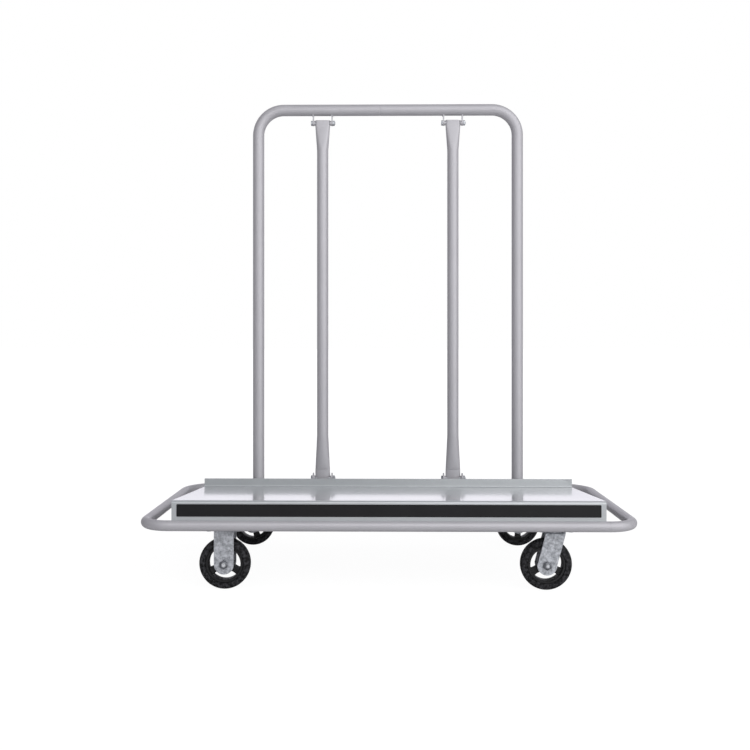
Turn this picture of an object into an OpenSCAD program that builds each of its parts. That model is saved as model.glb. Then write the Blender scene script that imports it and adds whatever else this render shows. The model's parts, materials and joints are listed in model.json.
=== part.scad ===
// Drywall cart: a bumper ring on four casters carries a sloping deck and a tall tube hoop.
// Boards stand on edge on the deck and lean back on the hoop and its two posts.
// Millimetres, +Z up, +X along the cart, front at -Y, origin on the floor under the ring's centre.

/* [Overall] */
// Length of the bumper ring, over the tube
ring_length = 1208; // [1100:1:1350]
// Depth of the bumper ring, over the tube
ring_depth = 624; // [600:1:720]
// Height of the hoop's top above the floor
cart_height = 1272; // [1150:1:1420]

/* [Bumper ring] */
// Outside diameter of the ring's tube
tube_d = 25.4; // [24:0.2:28]
// Wall of the ring's tube
tube_wall = 2; // [1.5:0.5:3]
// Bend radius of the ring's front corners, at the tube's centre line
ring_bend_r = 66; // [50:1:90]
// Bend radius of the ring's rear corners, at the tube's centre line
ring_rear_bend_r = 95; // [60:1:120]

/* [Cross channels] */
// Width of each cross channel
channel_w = 100; // [96:1:120]
// Height of each cross channel
channel_h = 23; // [20:1:32]
// Sheet thickness of the cross channels
channel_t = 3; // [2:0.5:4]
// How far the channels' underside lies above the ring's underside
channel_raise = 1.6; // [1:0.1:4]

/* [Deck] */
// Distance from the ring's end to the deck's end
deck_inset = 87.5; // [82:0.5:120]
// Depth of the deck pan, from the front flange to the rear lip
deck_depth = 415.3; // [380:0.1:430]
// Slope of the deck, down towards the hoop, in degrees
deck_tilt = 4.3; // [3:0.1:6]
// Height of the front flange above the ring
flange_h = 47.2; // [46.2:0.2:54]
// Height of the rear lip above the deck
lip_h = 23; // [18:1:34]
// Sheet thickness of the deck pan
sheet_t = 2; // [1.5:0.5:3]
// Outside radius of the bend along the front edge
front_bend_r = 7; // [5:0.5:8]
// Inside radius of the bend at the foot of the rear lip
lip_bend_r = 4; // [2:0.5:6]
// Thickness of the ribs that carry the deck on the channels
rib_t = 4; // [3:0.5:6]
// Distance from the deck's end to the end of the plain band on the front flange
band_inset = 12; // [2:0.5:60]
// Height of the band
band_h = 29.7; // [20:0.1:30]
// Thickness of the band
band_t = 0.6; // [0.4:0.1:1]
// Height of the band's lower edge above the flange's foot
band_up = 9.2; // [6:0.2:10]

/* [Hoop] */
// Distance between the hoop's legs, at the tube's centre line
leg_spacing = 733; // [640:1:760]
// Outside diameter of the hoop's and the posts' tube
hoop_d = 31.8; // [28:0.2:34]
// Wall of the hoop's and the posts' tube
hoop_wall = 2; // [1.5:0.5:2.5]
// Bend radius of the hoop's corners, at the tube's centre line
hoop_bend_r = 72; // [60:1:100]
// Place of the joint between the hoop's two halves
hoop_joint_x = -22; // [-60:1:60]
// Length of the sleeve inside that joint
sleeve_length = 120; // [80:1:160]
// Wall of the sleeve
sleeve_wall = 2; // [1.5:0.5:3]

/* [Beam] */
// Depth of the beam under the hoop
beam_d = 40; // [38:1:50]
// Height of the beam
beam_h = 30; // [26:1:34]
// Wall of the beam
beam_wall = 2.5; // [2:0.5:3.5]

/* [Posts] */
// Distance between the two posts, centre to centre
post_spacing = 369; // [300:1:420]
// Width of a post's flattened end
flat_w = 41.5; // [38:0.5:46]
// Thickness of a post's flattened end
flat_t = 12.5; // [11:0.5:14]
// Length of the flat at a post's top
top_flat_h = 18; // [16:1:40]
// Length of the flat at a post's foot
foot_flat_h = 30; // [18:1:36]
// Length of the change from flat to round at the top
top_taper_h = 68; // [40:1:90]
// Length of the change from flat to round at the foot
foot_taper_h = 100; // [60:1:120]
// Gap between a post's top and the top rail
post_gap = 13; // [8:0.5:16]
// Distance from a post's end to its cross bolt
post_edge = 8; // [7:0.5:10]
// Thickness of the ears that hold the posts
ear_t = 3; // [2:0.5:4]
// Radius of the top ears round their bolt
top_ear_r = 8; // [7:0.5:10]
// Radius of the foot ears round their bolt
foot_ear_r = 15; // [12:0.5:17]
// Room between a post and each ear, which a spacer fills
ear_clear = 4.2; // [2:0.1:5]
// Diameter of the spacers
spacer_d = 14; // [13:0.5:15]
// Height of the foot bolts above the beam
foot_bolt_up = 9; // [9:0.5:12]

/* [Casters] */
// Distance from the ring's left end to the rigid casters
rigid_inset = 207; // [177:1:237]
// Distance from the ring's right end to the swivel casters' kingpins
swivel_inset = 201; // [186:1:222]
// How far a swivel wheel trails its kingpin
trail = 21; // [10:1:24]
// Size of a caster's top plate along the cart
plate_w = 90; // [86:1:95]
// Size of a caster's top plate across the cart
plate_d = 72; // [66:1:84]
// Thickness of the top plate
plate_t = 4; // [3:0.5:6]
// Corner radius of the top plate
plate_corner_r = 8; // [4:1:10]
// Gap between the top plate and the ring's tube
plate_gap = 3.6; // [1:0.1:5]
// Hole spacing of the plate along the cart
hole_pitch_x = 70; // [68:1:74]
// Hole spacing of the plate across the cart
hole_pitch_y = 46; // [44:1:48]
// Sheet thickness of the forks
fork_t = 3; // [2.5:0.5:4]
// Width of a fork's leg
fork_w = 48; // [44:1:52]
// How far the centre of a fork's round end lies above the axle
fork_rise = 0; // [0:0.5:6]
// Outside radius of the bend at a fork's crown
fork_bend_r = 6; // [5:0.5:8]
// Height of a fork's upright shoulder under its crown
fork_shoulder_h = 4; // [3:0.5:12]
// Height of the swivel head, between fork and plate
head_h = 5; // [5:0.5:12]
// Radius of the lower raceway
race_r = 25; // [24:0.5:30]
// How far the upper raceway steps in
race_step = 3; // [2:0.5:5]
// Height of the lower raceway
race_low_h = 2.5; // [1.5:0.5:4]

/* [Wheels] */
// Diameter of the tyre
wheel_d = 125; // [115:1:140]
// Width of the tyre
wheel_w = 32; // [30:1:40]
// Height of the rubber, from its seat to the tread
tyre_t = 16.5; // [14:0.5:18]
// Radius of the tyre's shoulders
shoulder_r = 12; // [6:0.5:13]
// Thickness of the wheel's rim under the tyre
rim_t = 7.5; // [6:0.5:9]
// Width of the wheel's rim
rim_w = 28; // [24:1:30]
// Diameter of the wheel's hub
hub_d = 34; // [28:1:38]
// Width of a spoke
spoke_w = 17; // [12:0.5:20]
// Thickness of a spoke
spoke_t = 13; // [8:0.5:18]
// Gap between the tyre and the fork's crown
crown_gap = 14; // [8:0.5:18]
// Gap between the tyre and each fork leg
fork_side_gap = 3; // [2:0.5:5]

/* [Fasteners] */
// Diameter of the wheels' axle bolts and the kingpins
axle_d = 12; // [10:1:14]
// Width across flats of the axle bolts
axle_af = 19; // [17:0.5:21]
// Height of the axle bolts' heads
axle_head_h = 7.5; // [6:0.5:8]
// Height of the axle nuts
axle_nut_h = 8; // [6:0.5:10]
// Wall of the wheel bushes
bush_wall = 3; // [2:0.5:4]
// Diameter of the kingpins' heads
king_head_d = 24; // [20:1:28]
// Height of the kingpins' heads
king_head_h = 4.5; // [3:0.5:5]
// Diameter of the small bolts
bolt_d = 8; // [6:1:8]
// Width across flats of the small bolts
bolt_af = 13; // [10:0.5:13]
// Height of the small bolts' heads
bolt_head_h = 5.3; // [4:0.1:6]
// Height of the low heads of the bolts that hold the casters
low_head_h = 3.4; // [3:0.1:5]
// Height of the small nuts
nut_h = 6.5; // [5:0.5:8]
// How far a bolt stands out of its nut
bolt_proud = 1.5; // [1:0.5:3]

/* [Fits] */
// Radial clearance of a turning fit
run_fit = 0.05; // [0.02:0.01:0.1]
// Radial clearance of a fixed fit
snug_fit = 0.05; // [0.02:0.01:0.1]
// Radial clearance of a tyre on its seat
tyre_fit = 0.15; // [0.1:0.05:0.3]
// Radial clearance of a bolt in a plain hole
bolt_clear = 0.5; // [0.3:0.1:0.8]
// Gap between faces that pass each other
face_gap = 0.3; // [0.2:0.1:0.5]

/* [Hidden] */
$fn = 64;
// Sides of a hexagon, segments of a sheet bend and of a round end, and sides of a blended tube
hex_sides = 6;
bend_steps = 8;
round_steps = 32;
blend_sides = 32;
// One overrun serves all cuts, and one thin slab starts and ends each blend
overrun = 1;
slab = 0.05;

// Ring
tube_r = tube_d / 2;
ring_a = (ring_length - tube_d) / 2;
ring_b = (ring_depth - tube_d) / 2;

// Casters and the heights that follow from them
rigid_x = rigid_inset - ring_length / 2;
swivel_x = ring_length / 2 - swivel_inset;
caster_y = ring_b - tube_r - plate_gap - plate_d / 2;
axle_z = wheel_d / 2;
crown_z = wheel_d + crown_gap;
head_z = crown_z + fork_t;
plate_z = head_z + head_h;
channel_z = plate_z + plate_t;
channel_top = channel_z + channel_h;
ring_z = channel_z - channel_raise + tube_r;
beam_top = channel_top + beam_h;

// Wheel
seat_r = wheel_d / 2 - tyre_t;
rim_r = seat_r - rim_t;
axle_r = axle_d / 2;
bush_r = axle_r + run_fit + bush_wall;
fork_gap = wheel_w + 2 * fork_side_gap;
fork_half = fork_gap / 2 + fork_t;
bush_length = fork_gap - 2 * face_gap;
axle_stick = axle_nut_h + bolt_proud;
// Swivel wheels at rest, and the hole that holds a kingpin in its plate
wheel_x = swivel_x - trail;
king_hole_r = axle_r + snug_fit;
// Where the spokes of each wheel point at rest, as seen from the front
front_spoke_angle = 90;
rear_left_spoke_angle = 288;
rear_right_spoke_angle = 272;

// Deck pan, seen from the side as depth and height
deck_length = ring_length - 2 * deck_inset;
band_length = deck_length - 2 * band_inset;
flange_y = -ring_b - sheet_t / 2;
flange_z = ring_z + tube_r;
deck_front_z = flange_z + flange_h;
lip_y = flange_y + deck_depth;
front_bend = [flange_y + front_bend_r, deck_front_z - front_bend_r];
lip_bend = [lip_y - lip_bend_r, deck_top(lip_y - lip_bend_r) + lip_bend_r / cos(deck_tilt)];
lip_top = deck_top(lip_y) + lip_h;
rib_start = -ring_b + tube_d;
rib_end = lip_y - lip_bend_r - sheet_t - rib_t;

// Hoop, beam and posts
hoop_r = hoop_d / 2;
hoop_y = lip_y + sheet_t + beam_d / 2;
leg_x = leg_spacing / 2;
rail_z = cart_height - hoop_r;
leg_z = channel_top + beam_wall;
leg_bolt_z = channel_top + beam_h / 2;
post_x = post_spacing / 2;
foot_bolt_z = beam_top + foot_bolt_up;
post_z = foot_bolt_z - post_edge;
post_top = rail_z - hoop_r - post_gap;
top_bolt_z = post_top - post_edge;
ear_gap = flat_w + 2 * ear_clear;
ear_out = ear_gap / 2 + ear_t;
spacer_length = ear_clear - face_gap;

// Small bolts
bolt_r = bolt_d / 2;
bolt_hole_r = bolt_r + bolt_clear;

// Colours
paint = "#a7a7b0";
zinc = "#b9bcc0";
steel = "#8f9296";
rubber = "#1d1d1f";
core = "#17171a";
band_black = "#1b1b1e";

// Height of the deck's upper face at a given depth, on the plane that leaves the front bend
function deck_top(y) =
  front_bend[1] + front_bend_r / cos(deck_tilt) - (y - front_bend[0]) * tan(deck_tilt);

// Height of the deck's lower face at a given depth
function deck_under(y) = deck_top(y) - sheet_t / cos(deck_tilt);

// Points of an arc round a centre
function arc(centre, r, from, to, steps = bend_steps) = [
  for (i = [0 : steps])
    let (a = from + (to - from) * i / steps)
      centre + r * [cos(a), sin(a)]
];

// An outline of depth and height, carried along X and centred on it
module along_x(length) {
  translate([-length / 2, 0, 0])
    rotate([90, 0, 90])
      linear_extrude(length)
        children();
}

// An outline of length and height, carried along Y and centred on it
module along_y(length) {
  rotate([90, 0, 0])
    linear_extrude(length, center = true)
      children();
}

// Solid bar along Y, centred
module bar_y(r, length) {
  rotate([90, 0, 0])
    cylinder(r = r, h = length, center = true);
}

// Solid bar along X, centred
module bar_x(r, length) {
  rotate([0, 90, 0])
    cylinder(r = r, h = length, center = true);
}

// Tube along Z from zero
module pipe(d, wall, length) {
  difference() {
    cylinder(d = d, h = length);
    translate([0, 0, -overrun])
      cylinder(d = d - 2 * wall, h = length + 2 * overrun);
  }
}

// Quarter bend of tube round Z, from +X to +Y
module elbow(bend_r, d, wall) {
  rotate_extrude(angle = 90)
    translate([bend_r, 0])
      difference() {
        circle(d = d);
        circle(d = d - 2 * wall);
      }
}

// Rectangle with round corners, centred
module rounded_rect(w, h, r) {
  square([w - 2 * r, h], center = true);
  square([w, h - 2 * r], center = true);
  for (x = [-1, 1], y = [-1, 1])
    translate([x * (w / 2 - r), y * (h / 2 - r)])
      circle(r = r);
}

// Slot outline with round ends, centred, its width along X
module slot_outline(w, t) {
  square([w - t, t], center = true);
  for (x = [-1, 1])
    translate([x * (w - t) / 2, 0])
      circle(d = t);
}

// Hexagonal prism from its width across flats
module hexagon(af, h) {
  cylinder(d = af / cos(180 / hex_sides), h = h, $fn = hex_sides);
}

// Hexagon bolt: head below zero, shank up from zero
module hex_bolt(d, af, head_h, length) {
  translate([0, 0, -head_h])
    hexagon(af, head_h);
  cylinder(d = d, h = length);
}

// Hexagon nut up from zero
module hex_nut(d, af, h) {
  difference() {
    hexagon(af, h);
    translate([0, 0, -overrun])
      cylinder(r = d / 2 + snug_fit, h = h + 2 * overrun);
  }
}

// Lock nut: hexagon with a round collar
module lock_nut(d, af, h) {
  collar_share = 0.3;
  difference() {
    union() {
      hexagon(af, h * (1 - collar_share));
      cylinder(d = af, h = h);
    }
    translate([0, 0, -overrun])
      cylinder(r = d / 2 + snug_fit, h = h + 2 * overrun);
  }
}

// The four corners of a caster's hole pattern
module at_plate_holes() {
  for (x = [-1, 1], y = [-1, 1])
    translate([x * hole_pitch_x / 2, y * hole_pitch_y / 2, 0])
      children();
}

// All four casters' places
module at_casters() {
  for (x = [rigid_x, swivel_x], side = [-1, 1])
    translate([x, side * caster_y, 0])
      children();
}

// One straight run of the ring, between two corners of a given bend radius
module ring_run(side, bend_r) {
  run = 2 * (ring_a - bend_r);
  translate([-run / 2, side * ring_b, ring_z])
    rotate([0, 90, 0])
      pipe(tube_d, tube_wall, run);
}

// The ring's right end, bent round two corners
module ring_end() {
  translate([ring_a - ring_bend_r, ring_bend_r - ring_b, ring_z])
    rotate([0, 0, -90])
      elbow(ring_bend_r, tube_d, tube_wall);
  translate([ring_a, ring_b - ring_rear_bend_r, ring_z])
    rotate([90, 0, 0])
      pipe(tube_d, tube_wall, 2 * ring_b - ring_bend_r - ring_rear_bend_r);
  translate([ring_a - ring_rear_bend_r, ring_b - ring_rear_bend_r, ring_z])
    elbow(ring_rear_bend_r, tube_d, tube_wall);
}

// A channel across the ring, open upwards, its ends cut to fit round the tubes
module cross_channel(x) {
  difference() {
    translate([x - channel_w / 2, -ring_b, channel_z])
      cube([channel_w, 2 * ring_b, channel_h]);
    translate([x - channel_w / 2 + channel_t, -ring_b - overrun, channel_z + channel_t])
      cube([channel_w - 2 * channel_t, 2 * ring_b + 2 * overrun, channel_h]);
    for (side = [-1, 1])
      translate([x, side * ring_b, ring_z])
        bar_x(tube_r + snug_fit, channel_w + 2 * overrun);
    for (side = [-1, 1])
      translate([x, side * caster_y, channel_z - overrun])
        at_plate_holes()
          cylinder(r = bolt_hole_r, h = channel_t + 2 * overrun);
  }
}

// A wedge plate that stands in a channel and carries the sloping deck
module deck_rib(x) {
  translate([x, 0, 0])
    along_x(rib_t)
      polygon([
        [rib_start, channel_z + channel_t],
        [rib_end, channel_z + channel_t],
        [rib_end, deck_under(rib_end)],
        [rib_start, deck_under(rib_start)]
      ]);
}

// Half of the hoop: a leg, a bend and part of the top rail
module hoop_half(side) {
  joint = side * hoop_joint_x;
  run = leg_x - hoop_bend_r - joint;
  translate([0, hoop_y, 0])
    difference() {
      union() {
        translate([side * leg_x, 0, leg_z])
          pipe(hoop_d, hoop_wall, rail_z - hoop_bend_r - leg_z);
        translate([side * (leg_x - hoop_bend_r), 0, rail_z - hoop_bend_r])
          rotate([90, 0, 0])
            rotate([0, 0, side > 0 ? 0 : 90])
              elbow(hoop_bend_r, hoop_d, hoop_wall);
        translate([side > 0 ? hoop_joint_x : hoop_joint_x - run, 0, rail_z])
          rotate([0, 90, 0])
            pipe(hoop_d, hoop_wall, run);
      }
      translate([side * leg_x, 0, leg_bolt_z])
        bar_y(bolt_r + snug_fit, hoop_d + 2 * overrun);
    }
}

// Outer or inner form of a post, which a wall thickness makes smaller
module post_form(inset, reach) {
  round_z = post_z + foot_flat_h + foot_taper_h;
  round_top = post_top - top_flat_h - top_taper_h;
  translate([0, 0, post_z - reach])
    linear_extrude(foot_flat_h + reach + slab)
      slot_outline(flat_w - 2 * inset, flat_t - 2 * inset);
  hull() {
    translate([0, 0, post_z + foot_flat_h])
      linear_extrude(slab)
        slot_outline(flat_w - 2 * inset, flat_t - 2 * inset, $fn = blend_sides);
    translate([0, 0, round_z])
      cylinder(r = hoop_r - inset, h = slab, $fn = blend_sides);
  }
  translate([0, 0, round_z])
    cylinder(r = hoop_r - inset, h = round_top - round_z);
  hull() {
    translate([0, 0, round_top - slab])
      cylinder(r = hoop_r - inset, h = slab, $fn = blend_sides);
    translate([0, 0, post_top - top_flat_h])
      linear_extrude(slab)
        slot_outline(flat_w - 2 * inset, flat_t - 2 * inset, $fn = blend_sides);
  }
  translate([0, 0, post_top - top_flat_h])
    linear_extrude(top_flat_h + reach)
      slot_outline(flat_w - 2 * inset, flat_t - 2 * inset);
}

// A post with flattened ends and a hole for the cross bolt at each
module post(x) {
  translate([x, hoop_y, 0])
    difference() {
      post_form(0, 0);
      post_form(hoop_wall, overrun);
      for (z = [foot_bolt_z, top_bolt_z])
        translate([0, 0, z])
          bar_x(bolt_r + snug_fit, flat_w + 2 * overrun);
    }
}

// A pair of ears, one at each side of a post's end, from one outline
module ear_pair(x) {
  for (side = [-1, 1])
    translate([x + side * (ear_out - ear_t / 2), 0, 0])
      along_x(ear_t)
        children();
}

// Ears that hang from the top rail, cut to fit round it
module top_ears(x) {
  difference() {
    ear_pair(x)
      translate([hoop_y, top_bolt_z])
        difference() {
          union() {
            circle(r = top_ear_r);
            translate([-top_ear_r, 0])
              square([2 * top_ear_r, rail_z - top_bolt_z]);
          }
          circle(r = bolt_r + snug_fit);
        }
    translate([x, hoop_y, rail_z])
      bar_x(hoop_r + snug_fit, 2 * ear_out + 2 * overrun);
  }
}

// Ears that stand on the beam
module foot_ears(x) {
  ear_pair(x)
    difference() {
      union() {
        translate([hoop_y, foot_bolt_z])
          circle(r = foot_ear_r);
        translate([hoop_y - foot_ear_r, beam_top])
          square([2 * foot_ear_r, foot_bolt_up]);
      }
      translate([hoop_y, foot_bolt_z])
        circle(r = bolt_r + snug_fit);
      translate([hoop_y - foot_ear_r - overrun, beam_top - 2 * foot_ear_r])
        square([2 * foot_ear_r + 2 * overrun, 2 * foot_ear_r]);
    }
}

// Places of the posts' four cross bolts, turned so that +Z points to the right
module at_post_bolts() {
  for (x = [-post_x, post_x], z = [foot_bolt_z, top_bolt_z])
    translate([x, hoop_y, z])
      rotate([0, 90, 0])
        children();
}

// Ring on a cross bolt between a post and an ear, up from zero
module spacer() {
  difference() {
    cylinder(d = spacer_d, h = spacer_length);
    translate([0, 0, -overrun])
      cylinder(r = bolt_r + snug_fit, h = spacer_length + 2 * overrun);
  }
}

// Top plate of a caster, with room for a kingpin where it has one
module caster_plate(x, side, pin_r) {
  translate([x, side * caster_y, plate_z])
    difference() {
      linear_extrude(plate_t)
        rounded_rect(plate_w, plate_d, plate_corner_r);
      translate([0, 0, -overrun]) {
        at_plate_holes()
          cylinder(r = bolt_hole_r, h = plate_t + 2 * overrun);
        if (pin_r > 0)
          cylinder(r = pin_r, h = plate_t + 2 * overrun);
      }
    }
}

// One edge of a fork's section, from the right leg's foot over the crown to the left leg's foot
function fork_edge(top, inset) =
  let (half = fork_half - inset, r = fork_bend_r - inset, low = axle_z - fork_w)
    concat(
      [[half, low]],
      arc([half - r, top - inset - r], r, 0, 90),
      arc([r - half, top - inset - r], r, 90, 180),
      [[-half, low]]
    );

// Section of a fork seen along the cart: two legs and a crown with round bends
module fork_section(top) {
  inner = fork_edge(top, fork_t);
  polygon(concat(fork_edge(top, 0), [for (i = [len(inner) - 1 : -1 : 0]) inner[i]]));
}

// Side view of a fork: a shoulder under the crown and a strap that runs to its round end at the axle
module fork_side(top, back) {
  neck = [0, top - fork_shoulder_h];
  axle = [-back, axle_z];
  lean = atan2(neck[0] - axle[0], neck[1] - axle[1]);
  end = axle + fork_rise * [sin(lean), cos(lean)];
  half = [fork_w / 2, 0];
  polygon(concat(
    [neck - half, [0, top] - half, [0, top] + half, neck + half],
    arc(end, fork_w / 2, -lean, -lean - 180, round_steps)
  ));
}

// A caster's fork, bent from one strap, with its axle hole
module fork(x, side, top, back) {
  translate([x, side * caster_y, 0])
    difference() {
      intersection() {
        along_x(2 * (fork_w + back))
          fork_section(top);
        along_y(2 * fork_half + 2 * overrun)
          fork_side(top, back);
      }
      translate([-back, 0, axle_z])
        bar_y(axle_r + snug_fit, 2 * fork_half + 2 * overrun);
      if (back > 0)
        translate([0, 0, top - fork_t - overrun])
          cylinder(r = axle_r + run_fit, h = fork_t + 2 * overrun);
    }
}

// Kingpin of a swivel caster: a shank through fork and plate, with its head under the crown
module kingpin(side) {
  translate([swivel_x, side * caster_y, 0]) {
    translate([0, 0, crown_z - face_gap - king_head_h])
      cylinder(d = king_head_d, h = king_head_h);
    translate([0, 0, crown_z - face_gap])
      cylinder(r = axle_r, h = channel_z - crown_z + face_gap);
  }
}

// Raceway of a swivel caster, stepped, on the fork's crown
module race(side) {
  translate([swivel_x, side * caster_y, head_z])
    difference() {
      union() {
        cylinder(r = race_r, h = race_low_h);
        cylinder(r = race_r - race_step, h = head_h - face_gap);
      }
      translate([0, 0, -overrun])
        cylinder(r = axle_r + run_fit, h = head_h + 2 * overrun);
    }
}

// Section of a tyre on its seat, the two shoulders at the tread round
module tyre_section() {
  seat = seat_r + tyre_fit;
  corner = shoulder_r + overrun;
  difference() {
    translate([seat, -wheel_w / 2])
      square([wheel_d / 2 - seat, wheel_w]);
    for (side = [-1, 1])
      translate([wheel_d / 2 - shoulder_r, side * (wheel_w / 2 - shoulder_r)])
        difference() {
          translate([0, side < 0 ? -corner : 0])
            square(corner);
          circle(r = shoulder_r);
        }
  }
}

// Solid rubber tyre with round shoulders
module tyre(x, side) {
  translate([x, side * caster_y, axle_z])
    rotate([90, 0, 0])
      rotate_extrude()
        tyre_section();
}

// Wheel under the tyre: rim, hub and three spokes
module wheel(x, side, spoke_angle) {
  translate([x, side * caster_y, axle_z])
    rotate([90, 0, 0])
      difference() {
        union() {
          difference() {
            cylinder(r = seat_r, h = rim_w, center = true);
            cylinder(r = rim_r, h = rim_w + 2 * overrun, center = true);
          }
          cylinder(d = hub_d, h = wheel_w, center = true);
          for (i = [0 : 2])
            rotate([0, 0, spoke_angle + 120 * i])
              translate([0, -spoke_w / 2, -spoke_t / 2])
                cube([rim_r + rim_t / 2, spoke_w, spoke_t]);
        }
        cylinder(r = bush_r + snug_fit, h = wheel_w + 2 * overrun, center = true);
      }
}

// Bush pressed into the wheel, which turns on the axle bolt
module bush(x, side) {
  translate([x, side * caster_y, axle_z])
    difference() {
      bar_y(bush_r, bush_length);
      bar_y(axle_r + run_fit, bush_length + 2 * overrun);
    }
}

// Place of an axle, turned so that +Z points outwards
module at_axle(x, side) {
  translate([x, side * caster_y, axle_z])
    rotate([-90 * side, 0, 0])
      children();
}

// Axle bolt, its head on the fork's inner side
module axle_bolt(x, side) {
  at_axle(x, side)
    translate([0, 0, -fork_half])
      hex_bolt(axle_d, axle_af, axle_head_h, 2 * fork_half + axle_stick);
}

// Axle nut on the fork's outer side
module axle_nut(x, side) {
  at_axle(x, side)
    translate([0, 0, fork_half])
      lock_nut(axle_d, axle_af, axle_nut_h);
}

// Ring
module front_rail() { color(paint) ring_run(-1, ring_bend_r); }
module rear_rail() { color(paint) ring_run(1, ring_rear_bend_r); }
module right_end_bow() { color(paint) ring_end(); }
module left_end_bow() { color(paint) mirror([1, 0, 0]) ring_end(); }
module left_cross_channel() { color(paint) cross_channel(rigid_x); }
module right_cross_channel() { color(paint) cross_channel(swivel_x); }
module left_deck_rib() { color(paint) deck_rib(rigid_x); }
module right_deck_rib() { color(paint) deck_rib(swivel_x); }

// Beam that carries the hoop, behind the deck's lip
module hoop_beam() {
  color(paint)
    translate([0, hoop_y, 0])
      difference() {
        translate([-deck_length / 2, -beam_d / 2, channel_top])
          cube([deck_length, beam_d, beam_h]);
        translate([-deck_length / 2 - overrun, beam_wall - beam_d / 2, channel_top + beam_wall])
          cube([deck_length + 2 * overrun, beam_d - 2 * beam_wall, beam_h - 2 * beam_wall]);
        for (side = [-1, 1]) {
          translate([side * leg_x, 0, beam_top - beam_wall - overrun])
            cylinder(r = hoop_r + snug_fit, h = beam_wall + 2 * overrun);
          translate([side * leg_x, 0, leg_bolt_z])
            bar_y(bolt_r + snug_fit, beam_d + 2 * overrun);
        }
      }
}

// Deck pan: front flange, sloping deck and rear lip, bent from one sheet
module deck_pan() {
  color(paint)
    along_x(deck_length)
      polygon(concat(
        [[flange_y, flange_z]],
        arc(front_bend, front_bend_r, 180, 90 - deck_tilt),
        arc(lip_bend, lip_bend_r, 270 - deck_tilt, 360),
        [[lip_y, lip_top], [lip_y + sheet_t, lip_top]],
        arc(lip_bend, lip_bend_r + sheet_t, 360, 270 - deck_tilt),
        arc(front_bend, front_bend_r - sheet_t, 90 - deck_tilt, 180),
        [[flange_y + sheet_t, flange_z]]
      ));
}

// Plain dark band on the front flange
module front_band() {
  color(band_black)
    translate([-band_length / 2, flange_y - band_t, flange_z + band_up])
      cube([band_length, band_t, band_h]);
}

// Hoop
module left_hoop() { color(paint) hoop_half(-1); }
module right_hoop() { color(paint) hoop_half(1); }

// Sleeve inside the joint of the top rail
module hoop_sleeve() {
  color(steel)
    translate([hoop_joint_x - sleeve_length / 2, hoop_y, rail_z])
      rotate([0, 90, 0])
        pipe(hoop_d - 2 * hoop_wall - 2 * snug_fit, sleeve_wall, sleeve_length);
}

// Bolts that hold the legs in the beam, their heads at the back
module leg_bolts() {
  color(zinc)
    for (side = [-1, 1])
      translate([side * leg_x, hoop_y + beam_d / 2, leg_bolt_z])
        rotate([90, 0, 0])
          hex_bolt(bolt_d, bolt_af, bolt_head_h, beam_d);
}

// Posts with their ears, spacers, bolts and nuts
module left_post() { color(paint) post(-post_x); }
module right_post() { color(paint) post(post_x); }
module left_top_ears() { color(paint) top_ears(-post_x); }
module right_top_ears() { color(paint) top_ears(post_x); }
module left_foot_ears() { color(paint) foot_ears(-post_x); }
module right_foot_ears() { color(paint) foot_ears(post_x); }

module post_spacers() {
  color(paint)
    at_post_bolts()
      for (z = [-ear_gap / 2, ear_gap / 2 - spacer_length])
        translate([0, 0, z])
          spacer();
}

module post_bolts() {
  color(zinc)
    at_post_bolts()
      translate([0, 0, -ear_out])
        hex_bolt(bolt_d, bolt_af, bolt_head_h, 2 * ear_out + nut_h + bolt_proud);
}

module post_nuts() {
  color(zinc)
    at_post_bolts()
      translate([0, 0, ear_out])
        hex_nut(bolt_d, bolt_af, nut_h);
}

// Bolts and nuts that hold the casters to the channels
module caster_bolts() {
  color(zinc)
    at_casters()
      at_plate_holes()
        translate([0, 0, plate_z])
          hex_bolt(bolt_d, bolt_af, low_head_h, plate_t + channel_t + nut_h + bolt_proud);
}

module caster_nuts() {
  color(zinc)
    at_casters()
      at_plate_holes()
        translate([0, 0, channel_z + channel_t])
          hex_nut(bolt_d, bolt_af, nut_h);
}

// Rigid casters at the left end
module front_left_plate() { color(zinc) caster_plate(rigid_x, -1, 0); }
module front_left_fork() { color(zinc) fork(rigid_x, -1, plate_z, 0); }
module front_left_tyre() { color(rubber) tyre(rigid_x, -1); }
module front_left_wheel() { color(core) wheel(rigid_x, -1, front_spoke_angle); }
module front_left_bush() { color(steel) bush(rigid_x, -1); }
module rear_left_plate() { color(zinc) caster_plate(rigid_x, 1, 0); }
module rear_left_fork() { color(zinc) fork(rigid_x, 1, plate_z, 0); }
module rear_left_tyre() { color(rubber) tyre(rigid_x, 1); }
module rear_left_wheel() { color(core) wheel(rigid_x, 1, rear_left_spoke_angle); }
module rear_left_bush() { color(steel) bush(rigid_x, 1); }
module rigid_axle_bolts() { color(zinc) for (side = [-1, 1]) axle_bolt(rigid_x, side); }
module rigid_axle_nuts() { color(steel) for (side = [-1, 1]) axle_nut(rigid_x, side); }

// Swivel casters at the right end
module front_right_plate() { color(zinc) caster_plate(swivel_x, -1, king_hole_r); }
module front_right_kingpin() { color(steel) kingpin(-1); }
module front_right_race() { color(zinc) race(-1); }
module front_right_fork() { color(zinc) fork(swivel_x, -1, head_z, trail); }
module front_right_axle_bolt() { color(zinc) axle_bolt(wheel_x, -1); }
module front_right_axle_nut() { color(steel) axle_nut(wheel_x, -1); }
module front_right_tyre() { color(rubber) tyre(wheel_x, -1); }
module front_right_wheel() { color(core) wheel(wheel_x, -1, front_spoke_angle); }
module front_right_bush() { color(steel) bush(wheel_x, -1); }
module rear_right_plate() { color(zinc) caster_plate(swivel_x, 1, king_hole_r); }
module rear_right_kingpin() { color(steel) kingpin(1); }
module rear_right_race() { color(zinc) race(1); }
module rear_right_fork() { color(zinc) fork(swivel_x, 1, head_z, trail); }
module rear_right_axle_bolt() { color(zinc) axle_bolt(wheel_x, 1); }
module rear_right_axle_nut() { color(steel) axle_nut(wheel_x, 1); }
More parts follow.
